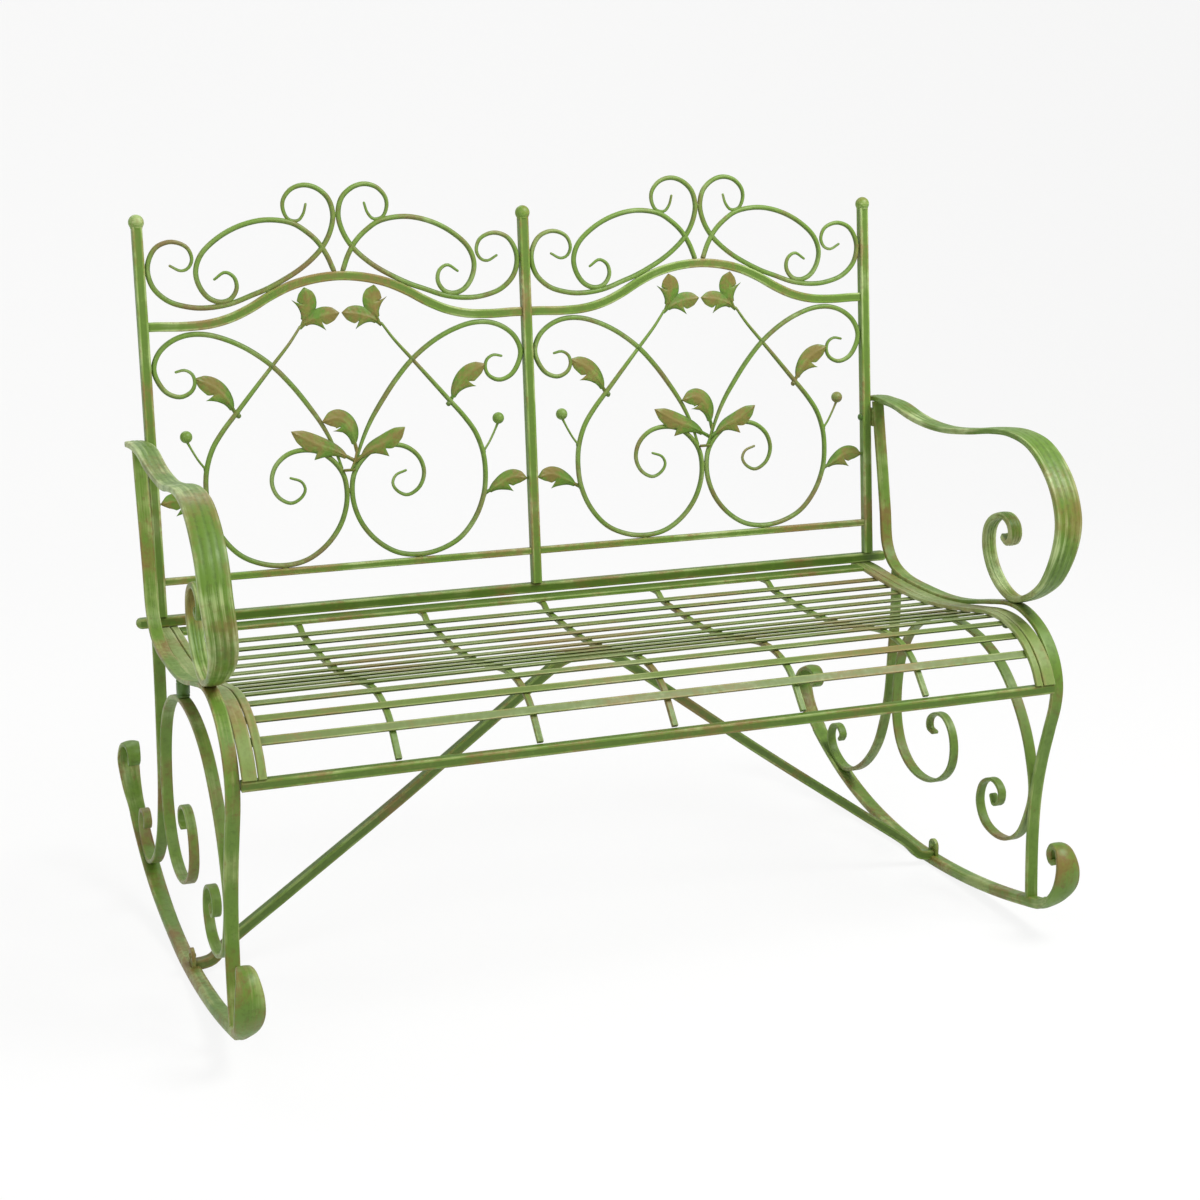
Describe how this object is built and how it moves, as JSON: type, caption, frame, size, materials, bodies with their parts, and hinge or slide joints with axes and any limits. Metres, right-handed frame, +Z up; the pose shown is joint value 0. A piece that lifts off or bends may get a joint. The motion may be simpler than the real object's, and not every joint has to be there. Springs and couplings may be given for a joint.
{
  "type": "outdoor rocking bench",
  "caption": "Outdoor rocking bench in painted strap steel: scrolled side frames on curved rockers, slatted seat, and a back with scrolls and leaves.",
  "frame": {"origin": "centre of the bounding box on the floor, between the two rockers", "axes": "+X to the right seen from the front, along the seat; +Y towards the back; +Z up. The front faces -Y."},
  "size_m": [1.194, 0.8116, 1.0279],
  "materials": {
    "green_paint": "hand-rubbed green paint on steel, satin",
    "light_paint": "light hand-rubbed green paint on steel, satin",
    "leaf_paint": "olive green paint with brown rubbed edges, satin",
    "dark_paint": "dark green paint on steel, satin"
  },
  "bodies": {
    "root": {"arch_left": "dark_paint", "arch_right": "dark_paint", "arm_bolt_left": "dark_paint", "arm_bolt_right": "dark_paint", "arm_left": "green_paint", "arm_right": "green_paint", "back_bottom_rail": "green_paint", "back_lower_rail_left": "green_paint", "back_lower_rail_right": "green_paint", "brace": "green_paint", "crest_rail_left": "green_paint", "crest_rail_right": "green_paint", "crest_scroll_left_inner": "leaf_paint", "crest_scroll_left_outer": "leaf_paint", "crest_scroll_right_inner": "leaf_paint", "crest_scroll_right_outer": "leaf_paint", "leg_left": "green_paint", "leg_right": "green_paint", "post_left": "green_paint", "post_middle": "green_paint", "post_right": "green_paint", "rear_leg_left": "dark_paint", "rear_leg_right": "dark_paint", "rocker_left": "green_paint", "rocker_right": "green_paint", "seat_bar_1": "green_paint", "seat_bar_2": "green_paint", "seat_bar_3": "green_paint", "seat_bar_4": "green_paint", "seat_bar_5": "green_paint", "seat_bolt_left": "dark_paint", "seat_bolt_right": "dark_paint", "seat_front_rail": "green_paint", "seat_rear_rail": "green_paint", "seat_side_rail_left": "light_paint", "seat_side_rail_right": "light_paint", "slat_01": "light_paint", "slat_02": "light_paint", "slat_03": "light_paint", "slat_04": "light_paint", "slat_05": "light_paint", "slat_06": "light_paint", "slat_07": "light_paint", "slat_08": "light_paint", "slat_09": "light_paint", "slat_10": "light_paint", "slat_11": "light_paint", "slat_12": "light_paint", "slat_13": "light_paint", "spacer_left": "dark_paint", "spacer_right": "dark_paint", "sprig_left": "leaf_paint", "sprig_right": "leaf_paint", "vine_left_inner": "leaf_paint", "vine_left_outer": "leaf_paint", "vine_right_inner": "leaf_paint", "vine_right_outer": "leaf_paint"}
  },
  "joints": []
}
